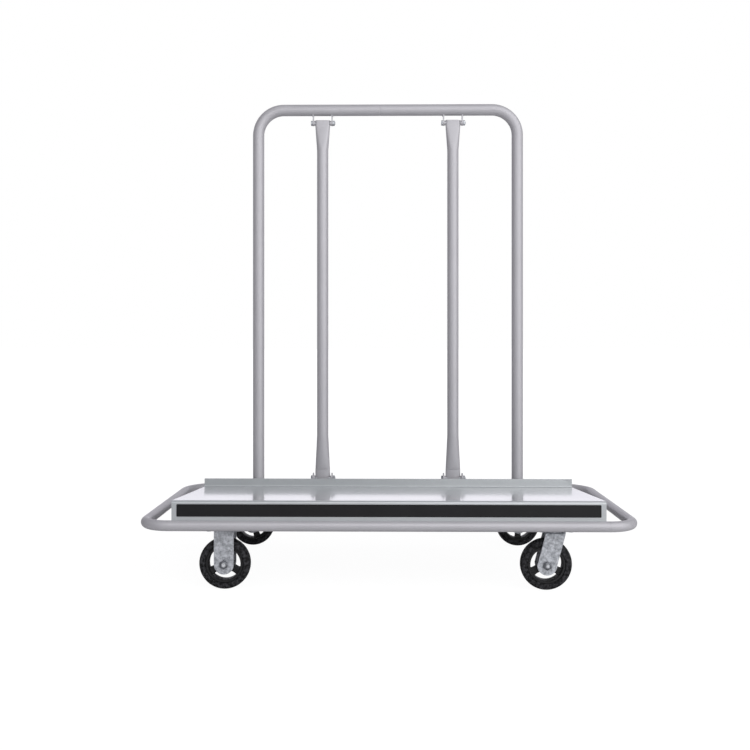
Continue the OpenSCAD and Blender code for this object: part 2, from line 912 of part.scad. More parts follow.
module rear_right_tyre() { color(rubber) tyre(wheel_x, 1); }
module rear_right_wheel() { color(core) wheel(wheel_x, 1, rear_right_spoke_angle); }
module rear_right_bush() { color(steel) bush(wheel_x, 1); }

front_rail();
rear_rail();
left_end_bow();
right_end_bow();
left_cross_channel();
right_cross_channel();
left_deck_rib();
right_deck_rib();
hoop_beam();
deck_pan();
front_band();
left_hoop();
right_hoop();
hoop_sleeve();
leg_bolts();
left_post();
right_post();
left_top_ears();
right_top_ears();
left_foot_ears();
right_foot_ears();
post_spacers();
post_bolts();
post_nuts();
caster_bolts();
caster_nuts();
front_left_plate();
front_left_fork();
front_left_tyre();
front_left_wheel();
front_left_bush();
rear_left_plate();
rear_left_fork();
rear_left_tyre();
rear_left_wheel();
rear_left_bush();
rigid_axle_bolts();
rigid_axle_nuts();
front_right_plate();
front_right_kingpin();
front_right_race();
front_right_fork();
front_right_axle_bolt();
front_right_axle_nut();
front_right_tyre();
front_right_wheel();
front_right_bush();
rear_right_plate();
rear_right_kingpin();
rear_right_race();
rear_right_fork();
rear_right_axle_bolt();
rear_right_axle_nut();
rear_right_tyre();
rear_right_wheel();
rear_right_bush();
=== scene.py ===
import json
import math

import bpy
import numpy as np
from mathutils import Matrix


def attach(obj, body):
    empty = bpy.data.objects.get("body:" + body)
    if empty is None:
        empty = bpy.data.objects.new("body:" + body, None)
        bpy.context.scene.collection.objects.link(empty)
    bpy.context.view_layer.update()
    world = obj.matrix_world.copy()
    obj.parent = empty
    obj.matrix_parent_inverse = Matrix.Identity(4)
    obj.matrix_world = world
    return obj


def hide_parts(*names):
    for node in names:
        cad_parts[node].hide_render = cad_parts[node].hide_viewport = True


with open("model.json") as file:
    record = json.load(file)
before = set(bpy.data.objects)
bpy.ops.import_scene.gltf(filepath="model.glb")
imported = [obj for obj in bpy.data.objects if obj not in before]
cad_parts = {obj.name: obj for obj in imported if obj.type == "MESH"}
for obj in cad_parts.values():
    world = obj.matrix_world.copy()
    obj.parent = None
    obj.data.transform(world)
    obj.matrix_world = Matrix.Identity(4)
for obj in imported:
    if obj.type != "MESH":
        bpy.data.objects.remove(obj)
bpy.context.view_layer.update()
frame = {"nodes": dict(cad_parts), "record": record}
nodes = frame["nodes"]

MM = 0.001
X, Y, Z = np.eye(3)
HANDS = ((-1, "left"), (1, "right"))
SHARP_ANGLE = math.radians(34)

# Sizes in millimetres: the part's own, and those of its eased edges, welds and threads

# Bumper ring: its tube, and the half length, half depth and height of its middle line
tube_r, tube_wall = 12.7, 2.0
ring_a, ring_b, ring_z = 591.3, 299.3, 162.1
front_corner_r, rear_corner_r = 66.0, 95.0

# Channels across the ring, and where the casters stand under them
channel_half, channel_z, channel_top, channel_t = 50.0, 151.0, 174.0, 3.0
rigid_x, swivel_x, wheel_x, caster_y = -397.0, 403.0, 382.0, 247.0

# Deck pan with its front flange and rear lip, and the band on the flange
deck_half, deck_front_z, deck_tilt = 516.5, 222.0, math.radians(4.3)
flange_y, flange_z, lip_y, lip_h = -300.3, 174.8, 115.0, 23.0
sheet_t, sheet_edge, front_bend_r, lip_bend_r = 2.0, 0.4, 7.0, 4.0
band_half, band_z, band_h, band_t = 504.5, 184.0, 29.7, 0.6
band_corner_r, band_edge = 2.0, 0.15

# Hoop, and the box beam under it
hoop_r, hoop_wall, hoop_bend_r, hoop_edge = 15.9, 2.0, 72.0, 0.8
hoop_y, leg_x, leg_z, rail_z, hoop_joint_x = 137.0, 366.5, 176.5, 1256.1, -22.0
beam_d, beam_h, beam_wall, beam_top = 40.0, 30.0, 2.5, 204.0
beam_corner_r, beam_edge = 4.0, 0.5

# Posts: flattened at both ends, with a taper between each flat and the round tube
post_x, post_z, post_top, post_edge = 184.5, 205.0, 1227.2, 0.6
flat_w, flat_t = 41.5, 12.5
foot_flat_h, foot_taper_h, top_flat_h, top_taper_h = 30.0, 100.0, 18.0, 68.0
foot_bolt_z, top_bolt_z = 213.0, 1219.2
ear_out, foot_ear_r, top_ear_r = 27.95, 15.0, 8.0

# Welds: radius of each bead, how far it stands off what it lies on, and how far it stops short of an end
rail_weld_r, rail_weld_off = 1.9, 0.4
foot_weld_r, foot_weld_off, foot_weld_short = 2.2, 0.3, 1.0
ring_weld_r, ring_weld_off, ring_weld_short = 1.6, 0.5, 1.0
beam_weld_r, beam_weld_short = 2.2, 2.0

# Casters: top plate, swivel head and fork
plate_w, plate_d, plate_t, plate_z = 90.0, 72.0, 4.0, 147.0
plate_corner_r, plate_edge, hole_x, hole_y = 8.0, 0.5, 35.0, 23.0
swivel_z, swivel_h, kingpin_r = 142.0, 5.0, 6.0
race_r, race_low_h, race_step, race_gap = 25.0, 2.5, 3.0, 0.3
race_edge, race_low_edge, race_shelf, race_fillet = 0.8, 0.7, 0.1, 0.3
fork_half, fork_t, fork_w, fork_bend_r = 22.0, 3.0, 48.0, 6.0
fork_neck, fork_edge, trail = 1.0, 0.8, 21.0

# Wheels: tyre, rim, hub and spokes
axle_z, wheel_r, wheel_w, shoulder_r = 62.5, 62.5, 32.0, 12.0
parting_w, parting_h = 0.7, 0.2
seat_r, rim_r, rim_w, rim_edge = 46.0, 38.5, 28.0, 1.2
rim_lip, rim_draft, rim_crown = 1.6, 0.6, 0.1
hub_r, bush_r, hub_edge, hub_draft = 17.0, 9.1, 1.0, 0.8
spoke_w, spoke_t, spoke_edge, spoke_waist = 17.0, 13.0, 2.0, 1.0
spoke_grow_w, spoke_grow_t, spoke_fillet = 4.5, 1.2, 4.0
spoke_in_hub, spoke_in_rim, spoke_count = 4.0, 3.0, 3

# Side wall of a tyre with two fine moulded rings: places from the edge of its seat, across and outwards
tyre_wall = np.array([(-0.8, 0.15), (0, 0.9), (0, 1.8), (-0.5, 2.1), (-0.5, 2.6), (0, 2.9), (0, 3.6)])

# Degrees of each wheel's first spoke
spoke_angles = {"front_left": 90, "front_right": 90, "rear_left": 288, "rear_right": 272}

# Bolts and nuts; a share is of the height, or of the radius over the corners
bolt_r, bolt_af, bolt_head_h, low_head_h = 4.0, 13.0, 5.3, 3.4
nut_h, bolt_proud, thread_gap, countersink = 6.5, 1.5, 0.05, 0.4
axle_r, axle_af, axle_head_h, axle_nut_h = 6.0, 19.0, 7.5, 8.0
axle_tip, collar_bevel = 3.0, 0.8
head_edge, crest_step, groove_at, groove_depth = 0.3, 0.7, 0.4, 0.4
head_face_share, nut_face_share, bevel_share, tip_share = 0.82, 0.86, 0.12, 0.8
lock_nut_shares = ((0, 0.86), (0.1, 1), (0.58, 1), (0.68, 0.84), (0.88, 0.8), (1, 0.66))
collar_share = 0.9


def linear(code):
    """Linear red, green, blue and alpha of an sRGB hex colour."""
    srgb = np.array([int(code[i:i + 2], 16) for i in (0, 2, 4)]) / 255
    return (*np.where(srgb <= 0.04045, srgb / 12.92, ((srgb + 0.055) / 1.055) ** 2.4), 1.0)


def add(tree, kind, inputs, **settings):
    """One node of that kind; each input is a value or another node's output socket."""
    made = tree.nodes.new(kind)
    for name, value in settings.items():
        setattr(made, name, value)
    for key, value in inputs.items():
        if isinstance(value, bpy.types.NodeSocket):
            tree.links.new(value, made.inputs[key])
        else:
            made.inputs[key].default_value = value
    return made


def new_material(name):
    """An empty material with its tree and the piece's own coordinates in metres."""
    material = bpy.data.materials.new(name)
    material.use_nodes = True
    tree = material.node_tree
    tree.nodes.clear()
    place = add(tree, "ShaderNodeTexCoord", {}).outputs["Object"]
    return material, tree, place


def close(tree, shader):
    """Joins the last shader to the material's output."""
    add(tree, "ShaderNodeOutputMaterial", {"Surface": shader.outputs[0]})


def per_mm(size):
    """Scale of a noise texture whose pattern repeats about once in that many millimetres."""
    return 1 / (size * MM)


def silver_paint(name, tones, flakes, rough, metal, coat, coat_rough, peel):
    """Baked silver-grey enamel on steel: a soft metallic sheen with a faint orange peel, on the sheet under a
    clear coat. Tones change slowly over the surface, and flakes are its fine speckle."""
    material, tree, place = new_material(name)
    cloud = add(tree, "ShaderNodeTexNoise", {"Vector": place, "Scale": per_mm(110), "Detail": 3.0})
    flake = add(tree, "ShaderNodeTexNoise", {"Vector": place, "Scale": per_mm(3), "Detail": 2.0})
    tone = add(tree, "ShaderNodeMix", {
        "Factor": cloud.outputs[0], "A": linear(tones[0]), "B": linear(tones[1])}, data_type="RGBA")
    speck = add(tree, "ShaderNodeMix", {
        "Factor": flake.outputs[0], "A": linear(flakes[0]), "B": linear(flakes[1])}, data_type="RGBA")
    both = add(tree, "ShaderNodeMix", {
        "Factor": 0.3, "A": tone.outputs["Result"], "B": speck.outputs["Result"]}, data_type="RGBA")
    dull = add(tree, "ShaderNodeMapRange", {
        "Value": cloud.outputs[0], "To Min": rough - 0.04, "To Max": rough + 0.04})
    ripple = add(tree, "ShaderNodeTexNoise", {"Vector": place, "Scale": per_mm(2.5), "Detail": 2.0})
    bump = add(tree, "ShaderNodeBump", {"Height": ripple.outputs[0], "Strength": peel, "Distance": 0.3 * MM})
    close(tree, add(tree, "ShaderNodeBsdfPrincipled", {
        "Base Color": both.outputs["Result"], "Roughness": dull.outputs[0], "Normal": bump.outputs[0],
        "Metallic": metal, "Coat Weight": coat, "Coat Roughness": coat_rough}))
    return material


def zinc_plate(name, dark, light, rough):
    """Bright zinc on pressed steel: pale grey metal with a soft mottle of crystals."""
    material, tree, place = new_material(name)
    cloud = add(tree, "ShaderNodeTexNoise", {"Vector": place, "Scale": per_mm(6.5), "Detail": 2.5})
    spread = add(tree, "ShaderNodeMapRange", {"Value": cloud.outputs[0], "From Min": 0.35, "From Max": 0.68})
    tone = add(tree, "ShaderNodeMix", {
        "Factor": spread.outputs[0], "A": linear(light), "B": linear(dark)}, data_type="RGBA")
    dull = add(tree, "ShaderNodeMapRange", {
        "Value": cloud.outputs[0], "To Min": rough - 0.08, "To Max": rough + 0.08})
    close(tree, add(tree, "ShaderNodeBsdfPrincipled", {
        "Base Color": tone.outputs["Result"], "Roughness": dull.outputs[0], "Metallic": 0.6}))
    return material


def plain_steel():
    """Plain oiled steel of nuts, pins and bushes: dull grey with darker smears. On the axle lock nuts its tone,
    darker than the zinc, is partly painted shade.
    """
    material, tree, place = new_material("oiled_steel")
    cloud = add(tree, "ShaderNodeTexNoise", {"Vector": place, "Scale": per_mm(6), "Detail": 4.0})
    tone = add(tree, "ShaderNodeMix", {
        "Factor": cloud.outputs[0], "A": linear("5d5f63"), "B": linear("8e9095")}, data_type="RGBA")
    dull = add(tree, "ShaderNodeMapRange", {"Value": cloud.outputs[0], "To Min": 0.34, "To Max": 0.52})
    close(tree, add(tree, "ShaderNodeBsdfPrincipled", {
        "Base Color": tone.outputs["Result"], "Roughness": dull.outputs[0], "Metallic": 0.9}))
    return material


def tyre_rubber():
    """Solid black rubber: matt, with a pale dusty bloom in patches."""
    material, tree, place = new_material("solid_tyre_rubber")
    bloom = add(tree, "ShaderNodeTexNoise", {"Vector": place, "Scale": per_mm(6), "Detail": 4.0})
    spread = add(tree, "ShaderNodeMapRange", {"Value": bloom.outputs[0], "From Min": 0.4, "From Max": 0.66})
    tone = add(tree, "ShaderNodeMix", {
        "Factor": spread.outputs[0], "A": linear("030304"), "B": linear("3c3c3f")}, data_type="RGBA")
    grain = add(tree, "ShaderNodeTexNoise", {"Vector": place, "Scale": per_mm(0.8), "Detail": 2.0})
    bump = add(tree, "ShaderNodeBump", {"Height": grain.outputs[0], "Strength": 0.15, "Distance": 0.2 * MM})
    close(tree, add(tree, "ShaderNodeBsdfPrincipled", {
        "Base Color": tone.outputs["Result"], "Roughness": 0.6, "Normal": bump.outputs[0],
        "Specular IOR Level": 0.2}))
    return material


def wheel_core():
    """Black moulded nylon of the wheel: smooth, with a soft change of gloss."""
    material, tree, place = new_material("moulded_black_nylon")
    cloud = add(tree, "ShaderNodeTexNoise", {"Vector": place, "Scale": per_mm(12), "Detail": 3.0})
    tone = add(tree, "ShaderNodeMix", {
        "Factor": cloud.outputs[0], "A": linear("0a0a0b"), "B": linear("18181a")}, data_type="RGBA")
    dull = add(tree, "ShaderNodeMapRange", {"Value": cloud.outputs[0], "To Min": 0.42, "To Max": 0.58})
    close(tree, add(tree, "ShaderNodeBsdfPrincipled", {
        "Base Color": tone.outputs["Result"], "Roughness": dull.outputs[0], "Specular IOR Level": 0.4}))
    return material


def band_film():
    """Plain black vinyl film on the front flange: satin, with a slight ripple of the sheet under it."""
    material, tree, place = new_material("black_vinyl_film")
    cloud = add(tree, "ShaderNodeTexNoise", {"Vector": place, "Scale": per_mm(60), "Detail": 2.0})
    tone = add(tree, "ShaderNodeMix", {
        "Factor": cloud.outputs[0], "A": linear("0c0c0e"), "B": linear("161618")}, data_type="RGBA")
    bump = add(tree, "ShaderNodeBump", {"Height": cloud.outputs[0], "Strength": 0.1, "Distance": 0.5 * MM})
    close(tree, add(tree, "ShaderNodeBsdfPrincipled", {
        "Base Color": tone.outputs["Result"], "Roughness": 0.45, "Normal": bump.outputs[0],
        "Specular IOR Level": 0.3}))
    return material


tube_paint = silver_paint("silver_enamel_on_tube", ("aeadb1", "bab9bd"), ("bebdc1", "aaa9ad"),
                          rough=0.46, metal=0.28, coat=0.0, coat_rough=0.3, peel=0.03)
sheet_paint = silver_paint("silver_enamel_on_sheet", ("acb0b2", "b8bcbe"), ("bcc0c2", "a8acae"),
                           rough=0.36, metal=0.36, coat=1.0, coat_rough=0.1, peel=0.01)
fork_zinc = zinc_plate("zinc_plated_pressed_steel", "92959a", "cdd0d5", rough=0.5)
# The axle bolts get a much paler copy of the zinc: its light tone is a painted highlight on their ends
axle_zinc_painted_highlight = zinc_plate("zinc_axle_bolts_with_painted_highlight", "b4b7bc", "f2f4f6", rough=0.4)
nut_zinc = zinc_plate("zinc_plated_fasteners", "8b8e93", "c9ccd0", rough=0.36)
# The axle lock nuts get the darker plain steel instead of zinc: their dark tone is partly painted shade
steel_darkened_as_painted_shade, rubber, nylon, film = plain_steel(), tyre_rubber(), wheel_core(), band_film()
finishes = {"silver_paint": tube_paint, "zinc": fork_zinc, "plain_steel": steel_darkened_as_painted_shade,
            "tyre_rubber": rubber, "wheel_core": nylon, "band": film}
for part in frame["record"]["subparts"]:
    slots = nodes[part["node"]].data.materials
    slots.clear()
    slots.append(finishes[part["material_slot"]])


def closed_shell(points, ring=False):
    """Corners and faces of a grid of points whose columns form loops: its rows either close into a ring,
    or its first and last loops are filled by a fan round their middle. Faces turn outwards by the sign of
    the volume that they enclose."""
    rows, cols = points.shape[:2]
    i, j = np.arange(rows if ring else rows - 1)[:, None], np.arange(cols)[None, :]
    low, high, beside = i * cols, (i + 1) % rows * cols, (j + 1) % cols
    cells = np.stack([low + j, low + beside, high + beside, high + j], -1).reshape(-1, 4)
    spots, fans = points.reshape(-1, 3), np.zeros((0, 3), int)
    if not ring:
        j, beside, last = j[0], beside[0], (rows - 1) * cols
        hub = np.full(cols, rows * cols)
        fans = np.concatenate([np.stack([hub, beside, j], -1),
                               np.stack([hub + 1, last + j, last + beside], -1)])
        spots = np.concatenate([spots, points[:1].mean(1), points[-1:].mean(1)])
    a, b, c = spots[np.concatenate([cells[:, :3], cells[:, [0, 2, 3]], fans])].transpose(1, 0, 2)
    if (a * np.cross(b, c)).sum() < 0:
        cells, fans = cells[:, ::-1], fans[:, ::-1]
    return spots, cells, fans


def piece(name, shells, finish, body="frame", stands_for=()):
    """One mesh object of closed shells in millimetres, smooth but for its hard edges, riding on a body. Large
    faces lead its shading, so that flats stay flat beside small bends."""
    spots, faces, first = [], [], 0
    for points, cells, fans in shells:
        spots.append(points)
        faces += (cells + first).tolist() + (fans + first).tolist()
        first += len(points)
    mesh = bpy.data.meshes.new(name)
    mesh.from_pydata(np.concatenate(spots) * MM, [], faces)
    mesh.polygons.foreach_set("use_smooth", np.ones(len(mesh.polygons), bool))
    mesh.set_sharp_from_angle(angle=SHARP_ANGLE)
    mesh.materials.append(finish)
    made = bpy.data.objects.new(name, mesh)
    bpy.context.scene.collection.objects.link(made)
    made.modifiers.new("large_faces_lead", "WEIGHTED_NORMAL").keep_sharp = True
    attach(made, body)
    if stands_for:
        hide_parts(*stands_for)


def spread_out(x, y, z):
    """Points in space from coordinates that are single values or arrays."""
    return np.stack(np.broadcast_arrays(x, y, z), -1)


def bent_line(corners, bends, steps=20):
    """Points and headings of a flat line through corners, each inner corner replaced by an arc of its bend
    radius that touches both legs: centre + r (sin a * heading - cos a * side)."""
    corners = np.array(corners, float)
    legs = np.diff(corners, axis=0)
    legs /= np.linalg.norm(legs, axis=1)[:, None]
    points, headings = [corners[:1]], [legs[:1]]
    for at, into, out, r in zip(corners[1:-1], legs[:-1], legs[1:], bends):
        turn = math.atan2(into[0] * out[1] - into[1] * out[0], into @ out)
        side = np.array([-into[1], into[0]]) * np.sign(turn)
        centre = at - into * r * math.tan(abs(turn) / 2) + side * r
        angle = np.linspace(0, abs(turn), steps + 1)[:, None]
        points.append(centre + r * (np.sin(angle) * into - np.cos(angle) * side))
        headings.append(np.cos(angle) * into + np.sin(angle) * side)
    return np.concatenate([*points, corners[-1:]]), np.concatenate([*headings, legs[-1:]])


def eased(line, heading, edge):
    """The line with one more point a little inside each end, and the inset of each point's section."""
    line = np.concatenate([line[:1], line[:1] + edge * heading[:1], line[1:-1],
                           line[-1:] - edge * heading[-1:], line[-1:]])
    heading = np.concatenate([heading[:1], heading, heading[-1:]])
    inset = np.zeros(len(line))
    inset[[0, -1]] = edge
    return line, heading, inset


def lifted(line, heading, place, u, v):
    """A flat line in space, the direction across it in its plane, and the direction square to its plane."""
    spine = place + line[:, :1] * u + line[:, 1:] * v
    across = -heading[:, 1:] * u + heading[:, :1] * v
    return spine, across, np.cross(u, v)


def tube(corners, bends, place, u, v, r, wall, edge=0.5, sides=44):
    """Bent tube: circles square to a flat line, out along the outside and back along the bore."""
    line, heading, inset = eased(*bent_line(corners, bends), edge)
    spine, across, out = lifted(line, heading, place, u, v)
    angle = 2 * np.pi * np.arange(sides)[:, None] / sides
    spokes = np.cos(angle) * across[:, None] + np.sin(angle) * out
    outside = spine[:, None] + (r - inset)[:, None, None] * spokes
    bore = spine[:, None] + (r - wall) * spokes
    return closed_shell(np.concatenate([outside, bore[::-1]]), ring=True)


def round_box(half_w, half_h, r, steps=4):
    """Loop of a rectangle with round corners; half sizes and radius may be one value or one for each row."""
    turn = np.linspace(0, np.pi / 2, steps + 1)
    angle = np.concatenate([turn + k * np.pi / 2 for k in range(4)])
    half_w, half_h, r = (np.asarray(size, float)[..., None] for size in (half_w, half_h, r))
    near_x, near_y = np.repeat([1, -1, -1, 1], steps + 1), np.repeat([1, 1, -1, -1], steps + 1)
    return np.stack(np.broadcast_arrays(near_x * (half_w - r) + r * np.cos(angle),
                                        near_y * (half_h - r) + r * np.sin(angle)), -1)


def strap(line, heading, place, u, v, half, thick, edge, shift=0.0, most_round=0.9):
    """Flat bar along a flat line: a rectangle with rounded edges square to the line, its width out of the
    line's plane and moved sideways by shift, its thickness in the plane."""
    spine, across, out = lifted(line, heading, place, u, v)
    half, thick = np.broadcast_to(half, len(line)), np.broadcast_to(thick, len(line))
    loop = round_box(half, thick / 2, np.minimum(edge, most_round * np.minimum(half, thick / 2)))
    sideways = loop[..., :1] + np.broadcast_to(shift, len(line))[:, None, None]
    return closed_shell(spine[:, None] + sideways * out + loop[..., 1:] * across[:, None])


def slab(half_w, half_h, corner_r, place, u, v, along, thick, edge, steps=4):
    """Flat plate: a rectangle with round corners carried through its thickness, inset at both faces."""
    level = np.array([0, edge, thick - edge, thick])[:, None, None]
    inset = np.array([edge, 0, 0, edge])
    outline = round_box(half_w - inset, half_h - inset, corner_r - inset, steps)
    return closed_shell(place + outline[..., :1] * u + outline[..., 1:] * v + level * along)


def turned(outline, centre, along, across_flats=None, ring=False, sides=72):
    """Outline of (distance along an axis, radius) points turned round that axis. Where a width across flats
    is given, no point goes past the flat of that hexagon: r = min(outline, half width / cos of the angle
    from the flat's middle)."""
    outline = np.array(outline, float)
    up = Z if abs(along[2]) < 0.5 else X
    side = np.cross(up, along)
    angle = 2 * np.pi * np.arange(sides) / sides
    r = np.repeat(outline[:, 1:], sides, 1)
    if across_flats:
        r = np.minimum(r, across_flats / 2 / np.cos((angle + np.pi / 6) % (np.pi / 3) - np.pi / 6))
    return closed_shell(centre + outline[:, :1, None] * along
                        + (r * np.cos(angle))[..., None] * side + (r * np.sin(angle))[..., None] * up, ring)


def bead(line, up, r, pitch=4.0, swell=0.14, taper=1.5, least=0.25, sides=14):
    """Weld bead: a round section along a line. Its radius is r (1 + swell sin(2 pi way / pitch)), times the
    root of the way from the nearer end over (taper r), which starts at its least and stops at 1."""
    step = np.linalg.norm(np.diff(line, axis=0), axis=1)
    way = np.concatenate([[0], np.cumsum(step)])
    heading = np.gradient(line, axis=0)
    heading /= np.linalg.norm(heading, axis=1)[:, None]
    side = np.cross(heading, up)
    side /= np.linalg.norm(side, axis=1)[:, None]
    over = np.cross(side, heading)
    size = r * (1 + swell * np.sin(2 * np.pi * way / pitch))
    size *= np.clip(np.minimum(way, way[-1] - way) / (taper * r) + least, 0, 1) ** 0.5
    angle = 2 * np.pi * np.arange(sides)[:, None] / sides
    spokes = np.cos(angle) * side[:, None] + np.sin(angle) * over[:, None]
    return closed_shell(line[:, None] + size[:, None, None] * spokes)


# Bumper ring: two straight runs and two bent ends of round tube, with a fine joint line between them
middle = ring_z * Z
front_half, rear_half = ring_a - front_corner_r, ring_a - rear_corner_r
for end, half, y in (("front", front_half, -ring_b), ("rear", rear_half, ring_b)):
    piece(f"ring_{end}_run", [tube([(-half, y), (half, y)], [], middle, X, Y, tube_r, tube_wall)],
          tube_paint, stands_for=[f"{end}_rail"])
for side, end in HANDS:
    corners = [(side * front_half, -ring_b), (side * ring_a, -ring_b),
               (side * ring_a, ring_b), (side * rear_half, ring_b)]
    bends = [front_corner_r, rear_corner_r]
    piece(f"ring_{end}_bend", [tube(corners, bends, middle, X, Y, tube_r, tube_wall)],
          tube_paint, stands_for=[f"{end}_end_bow"])

# Hoop: two halves of round tube that meet in the top rail
for side, end in HANDS:
    corners = [(side * leg_x, leg_z), (side * leg_x, rail_z), (hoop_joint_x, rail_z)]
    piece(f"{end}_hoop_tube",
          [tube(corners, [hoop_bend_r], hoop_y * Y, X, Z, hoop_r, hoop_wall, edge=hoop_edge)],
          tube_paint, stands_for=[f"{end}_hoop"])


def post_tube(x, foot_power=0.6, slot_power=4, foot_rows=26, top_rows=22, sides=64):
    """Post: loops up Z, an oval at the foot, a circle, and a flat slot at the top. A loop is
    x = (a - b) w + b cos t, y = b sin t, where w is cos t in the lower half, and above it
    tanh(k cos t) / tanh k with k the slot's power. The half width a and half thickness b change evenly with
    height, but b at the foot by the foot's power."""
    foot, head = post_z + foot_flat_h, post_top - top_flat_h
    z = np.concatenate([[post_z, post_z + post_edge, foot],
                        foot + np.linspace(0, foot_taper_h, foot_rows)[1:],
                        head - top_taper_h + np.linspace(0, top_taper_h, top_rows),
                        [post_top - post_edge, post_top]])[:, None]
    rise, fall = np.clip((z - foot) / foot_taper_h, 0, 1), np.clip((head - z) / top_taper_h, 0, 1)
    a = flat_w / 2 + np.minimum(rise, fall) * (hoop_r - flat_w / 2)
    b = flat_t / 2 + np.minimum(rise ** foot_power, fall) * (hoop_r - flat_t / 2)
    inset = np.zeros_like(z)
    inset[[0, -1]] = post_edge
    angle = 2 * np.pi * np.arange(sides) / sides
    slot = np.tanh(slot_power * np.cos(angle)) / math.tanh(slot_power)
    wide = np.where(z > (post_z + post_top) / 2, slot, np.cos(angle))

    def loops(less):
        return spread_out(x + (a - b) * wide + (b - less) * np.cos(angle),
                          hoop_y + (b - less) * np.sin(angle), z)

    return closed_shell(np.concatenate([loops(inset), loops(hoop_wall)[::-1]]), ring=True)


for side, end in HANDS:
    piece(f"{end}_post_tube", [post_tube(side * post_x)], tube_paint,
          stands_for=[f"{end}_post"])

# Deck pan: the middle plane of one sheet, bent along the front edge and at the foot of the lip
mid = sheet_t / 2
slope = math.tan(deck_tilt)
top_at_0 = deck_front_z - front_bend_r + front_bend_r / math.cos(deck_tilt) + (flange_y + front_bend_r) * slope
lip_top = top_at_0 - lip_y * slope + lip_h
mid_at_0 = top_at_0 - mid / math.cos(deck_tilt)
front, rear = flange_y + mid, lip_y + mid
deck_line, deck_heading, deck_inset = eased(*bent_line(
    [(front, flange_z), (front, mid_at_0 - front * slope), (rear, mid_at_0 - rear * slope), (rear, lip_top)],
    [front_bend_r - mid, lip_bend_r + mid]), sheet_edge)
piece("deck_sheet", [strap(deck_line, deck_heading, 0 * Y, Y, Z, deck_half - deck_inset, sheet_t - deck_inset,
                           sheet_edge)],
      sheet_paint, stands_for=["deck_pan"])
piece("band_film", [slab(band_half, band_h / 2, band_corner_r, flange_y * Y + (band_z + band_h / 2) * Z,
                         X, Z, -Y, band_t, band_edge)],
      film, stands_for=["front_band"])


def box_tube():
    """Box beam along X: loops of a rectangle with round corners, out along the outside and back inside."""
    x = np.array([-deck_half, -deck_half + beam_edge, deck_half - beam_edge, deck_half])
    less = np.array([beam_edge, 0, 0, beam_edge])
    outer = round_box(beam_d / 2 - less, beam_h / 2 - less, beam_corner_r)
    inner = round_box(beam_d / 2 - beam_wall + 0 * less, beam_h / 2 - beam_wall, beam_corner_r - beam_wall)
    loops = np.concatenate([outer, inner[::-1]])
    return closed_shell(spread_out(np.concatenate([x, x[::-1]])[:, None], hoop_y + loops[..., 0],
                                   beam_top - beam_h / 2 + loops[..., 1]), ring=True)


piece("hoop_box_beam", [box_tube()], tube_paint, stands_for=["hoop_beam"])

# Welds at the ears: to the top rail and to the beam
swing = np.linspace(-1, 1, 25)
arc = np.arcsin(top_ear_r / hoop_r) * swing
on_rail = hoop_r + rail_weld_off
welds = []
for x in (-post_x, post_x):
    for side in (-1, 1):
        face = x + side * ear_out
        welds.append(bead(spread_out(face, hoop_y + on_rail * np.sin(arc), rail_z - on_rail * np.cos(arc)),
                          X, rail_weld_r))
        welds.append(bead(spread_out(face, hoop_y + (foot_ear_r - foot_weld_short) * swing,
                                     beam_top + foot_weld_off), X, foot_weld_r))
piece("ear_welds", welds, tube_paint)

# Welds of the base: each channel's ends to the ring, up both flanges and along the web, and to the beam
climb_rows, web_rows = 16, 40
climb = np.linspace(0, 1, climb_rows)
low, high = (math.asin((z - ring_z) / tube_r) for z in (channel_z, channel_top - ring_weld_short))
angle = np.concatenate([high + (low - high) * climb, np.full(web_rows, low), low + (high - low) * climb])
at = np.concatenate([np.full(climb_rows, -channel_half),
                     np.linspace(-channel_half, channel_half, web_rows + 2)[1:-1],
                     np.full(climb_rows, channel_half)])
on_ring = tube_r + ring_weld_off
welds = []
for x in (rigid_x, swivel_x):
    for side in (-1, 1):
        welds.append(bead(spread_out(x + at, side * (ring_b - on_ring * np.cos(angle)),
                                     ring_z + on_ring * np.sin(angle)), side * Y, ring_weld_r))
        welds.append(bead(spread_out(x + side * channel_half, hoop_y + (beam_d / 2 - beam_weld_short) * swing,
                                     channel_top), X, beam_weld_r))
piece("base_welds", welds, tube_paint)


def over_corners(across_flats):
    """Radius over the corners of a hexagon."""
    return across_flats / 2 / math.cos(math.pi / 6)


def hex_outline(start, head_h, r, across_flats, length, end=1.0):
    """Outline of a bolt: chamfered head, shank, three thread crests and a chamfered end."""
    c = over_corners(across_flats)
    seat = start + head_h
    tip = seat + length
    last = tip - end
    return [(start, head_face_share * c), (start + bevel_share * head_h, c), (seat - head_edge, c),
            (seat, c - head_edge), (seat, r), (last - 2 * crest_step, r),
            (last - crest_step - groove_at, r - groove_depth), (last - crest_step, r),
            (last - groove_at, r - groove_depth), (last, r), (tip, r - tip_share * end)]


def nut_ring(start, h, bore, across_flats):
    """Closed outline of a plain nut with chamfered corners and a countersunk bore."""
    c = over_corners(across_flats)
    top = start + h
    return [(start, bore + countersink), (start, nut_face_share * c), (start + bevel_share * h, c),
            (top - bevel_share * h, c), (top, nut_face_share * c), (top, bore + countersink),
            (top - countersink, bore), (start + countersink, bore)]


def lock_ring(start, h, bore, across_flats):
    """Closed outline of a lock nut: hexagon with a chamfered foot and a round collar that turns in."""
    c = over_corners(across_flats)
    return [(start, bore), *((start + up * h, out * c) for up, out in lock_nut_shares),
            (start + h, bore + collar_bevel), (start + collar_share * h, bore)]


# Cross bolts and nuts of the posts, bolts of the hoop's legs, and bolts and nuts of the casters
bolts, nuts = [], []
for x in (-post_x, post_x):
    for z in (foot_bolt_z, top_bolt_z):
        at = np.array([x, hoop_y, z])
        bolts.append(turned(hex_outline(-ear_out - bolt_head_h, bolt_head_h, bolt_r, bolt_af,
                                        2 * ear_out + nut_h + bolt_proud), at, X, bolt_af))
        nuts.append(turned(nut_ring(ear_out, nut_h, bolt_r + thread_gap, bolt_af), at, X, bolt_af, True))
piece("post_cross_bolts", bolts, nut_zinc, stands_for=["post_bolts"])
piece("post_cross_nuts", nuts, nut_zinc, stands_for=["post_nuts"])

